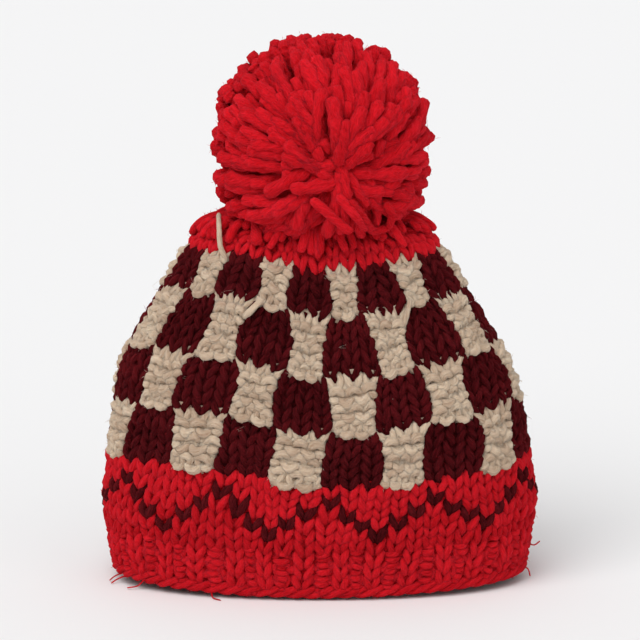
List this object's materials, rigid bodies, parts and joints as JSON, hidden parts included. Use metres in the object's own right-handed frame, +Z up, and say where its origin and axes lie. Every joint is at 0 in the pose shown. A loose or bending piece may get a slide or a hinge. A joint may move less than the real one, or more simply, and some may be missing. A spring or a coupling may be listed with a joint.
{
  "type": "bobble hat",
  "caption": "Hand-knitted bobble hat: ribbed hem, zigzag band, checked body and gathered crown in chunky yarn, topped by a big shaggy bobble. Worn on the head for warmth.",
  "frame": {"origin": "on the surface that the hat stands on, midway across its width and its depth", "axes": "+Z up through the crown to the bobble, -Y out of the hat's front, +X to the wearer's left"},
  "size_m": [0.2354, 0.1128, 0.3003],
  "materials": {
    "red_yarn": "matt wool, slightly fuzzy",
    "bobble_yarn": "matt wool in loose cut strands",
    "maroon_yarn": "matt wool, fuzzy",
    "cream_yarn": "matt wool"
  },
  "bodies": {
    "root": {"ribbed_hem": "red_yarn", "zigzag_band": "red_yarn", "zigzag_line": "maroon_yarn", "checked_body": "maroon_yarn", "gathered_crown": "red_yarn", "bobble": "bobble_yarn", "bobble_tie": "bobble_yarn", "square_1_01": "cream_yarn", "square_1_02": "cream_yarn", "square_1_03": "cream_yarn", "square_1_04": "cream_yarn", "square_1_05": "cream_yarn", "square_1_06": "cream_yarn", "square_1_07": "cream_yarn", "square_1_08": "cream_yarn", "square_1_09": "cream_yarn", "square_1_10": "cream_yarn", "square_2_01": "cream_yarn", "square_2_02": "cream_yarn", "square_2_03": "cream_yarn", "square_2_04": "cream_yarn", "square_2_05": "cream_yarn", "square_2_06": "cream_yarn", "square_2_07": "cream_yarn", "square_2_08": "cream_yarn", "square_2_09": "cream_yarn", "square_2_10": "cream_yarn", "square_3_01": "cream_yarn", "square_3_02": "cream_yarn", "square_3_03": "cream_yarn", "square_3_04": "cream_yarn", "square_3_05": "cream_yarn", "square_3_06": "cream_yarn", "square_3_07": "cream_yarn", "square_3_08": "cream_yarn", "square_3_09": "cream_yarn", "square_3_10": "cream_yarn", "square_4_01": "cream_yarn", "square_4_02": "cream_yarn", "square_4_03": "cream_yarn", "square_4_04": "cream_yarn", "square_4_05": "cream_yarn", "square_4_06": "cream_yarn", "square_4_07": "cream_yarn", "square_4_08": "cream_yarn", "square_4_09": "cream_yarn", "square_4_10": "cream_yarn"}
  },
  "joints": []
}
